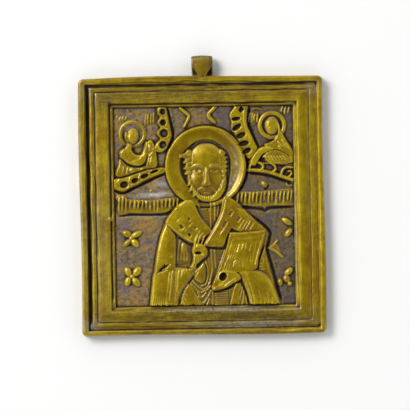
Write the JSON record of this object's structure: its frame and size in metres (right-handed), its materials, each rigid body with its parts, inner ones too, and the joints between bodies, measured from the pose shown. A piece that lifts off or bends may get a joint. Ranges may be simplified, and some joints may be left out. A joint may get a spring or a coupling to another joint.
{
  "type": "cast brass icon plaque",
  "caption": "Small rectangular cast icon with a stepped frame, a half-length haloed figure in low relief and a hanging loop on top.",
  "frame": {"origin": "middle of the flat back of the plate", "axes": "+Z out of the front, +Y up the picture towards the hanging loop, +X to the viewer's right"},
  "size_m": [0.0958, 0.109, 0.0052],
  "materials": {
    "brass": "rubbed high parts over dark patina"
  },
  "bodies": {
    "root": {"icon": "brass"}
  },
  "joints": []
}
